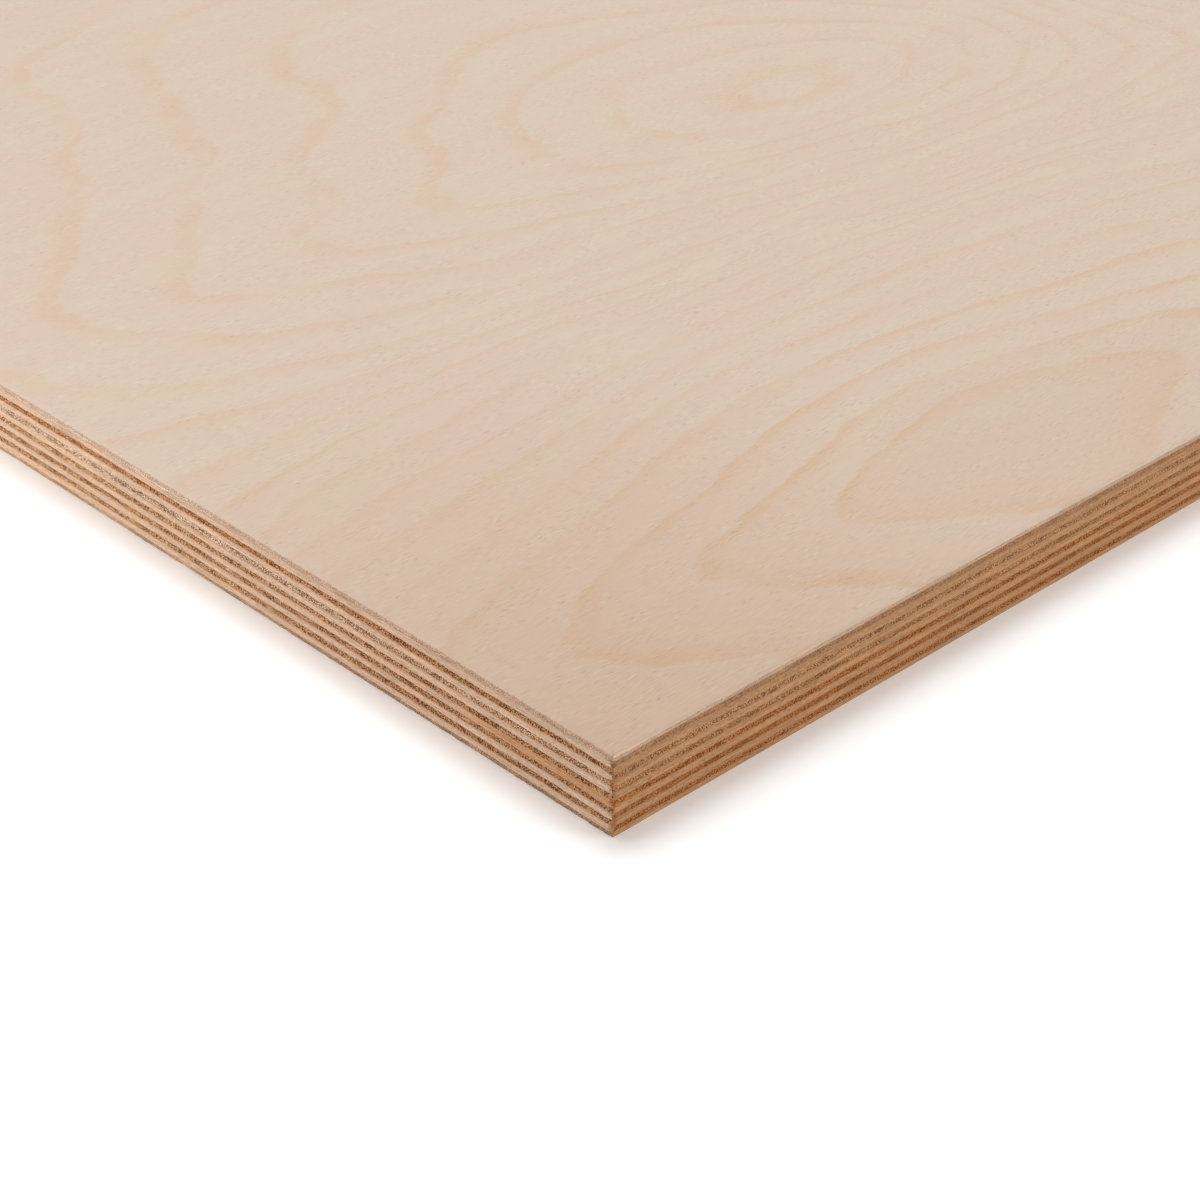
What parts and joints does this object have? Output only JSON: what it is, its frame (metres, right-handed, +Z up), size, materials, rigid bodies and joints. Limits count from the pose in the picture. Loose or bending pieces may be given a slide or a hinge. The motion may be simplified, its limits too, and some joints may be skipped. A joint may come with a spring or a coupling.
{
  "type": "plywood sheet",
  "caption": "Flat rectangular sheet of birch plywood: cross-laminated veneers with pale sanded faces and sawn edges that show the plies as stripes.",
  "frame": {"origin": "middle of the sheet's underside", "axes": "+X along the sheet's length and the grain of its faces, +Y across its width, +Z up through the plies to the face veneer"},
  "size_m": [1.22, 0.61, 0.018],
  "materials": {
    "birch_face": "pale sanded birch veneer, unfinished",
    "birch_crossband": "rotary-peeled birch veneer, sawn edge",
    "birch_core": "rotary-peeled birch veneer, sawn edge"
  },
  "bodies": {
    "root": {"face_veneer": "birch_face", "crossband_02": "birch_crossband", "core_ply_03": "birch_core", "crossband_04": "birch_crossband", "core_ply_05": "birch_core", "crossband_06": "birch_crossband", "core_ply_07": "birch_core", "crossband_08": "birch_crossband", "core_ply_09": "birch_core", "crossband_10": "birch_crossband", "core_ply_11": "birch_core", "crossband_12": "birch_crossband", "back_veneer": "birch_face"}
  },
  "joints": []
}
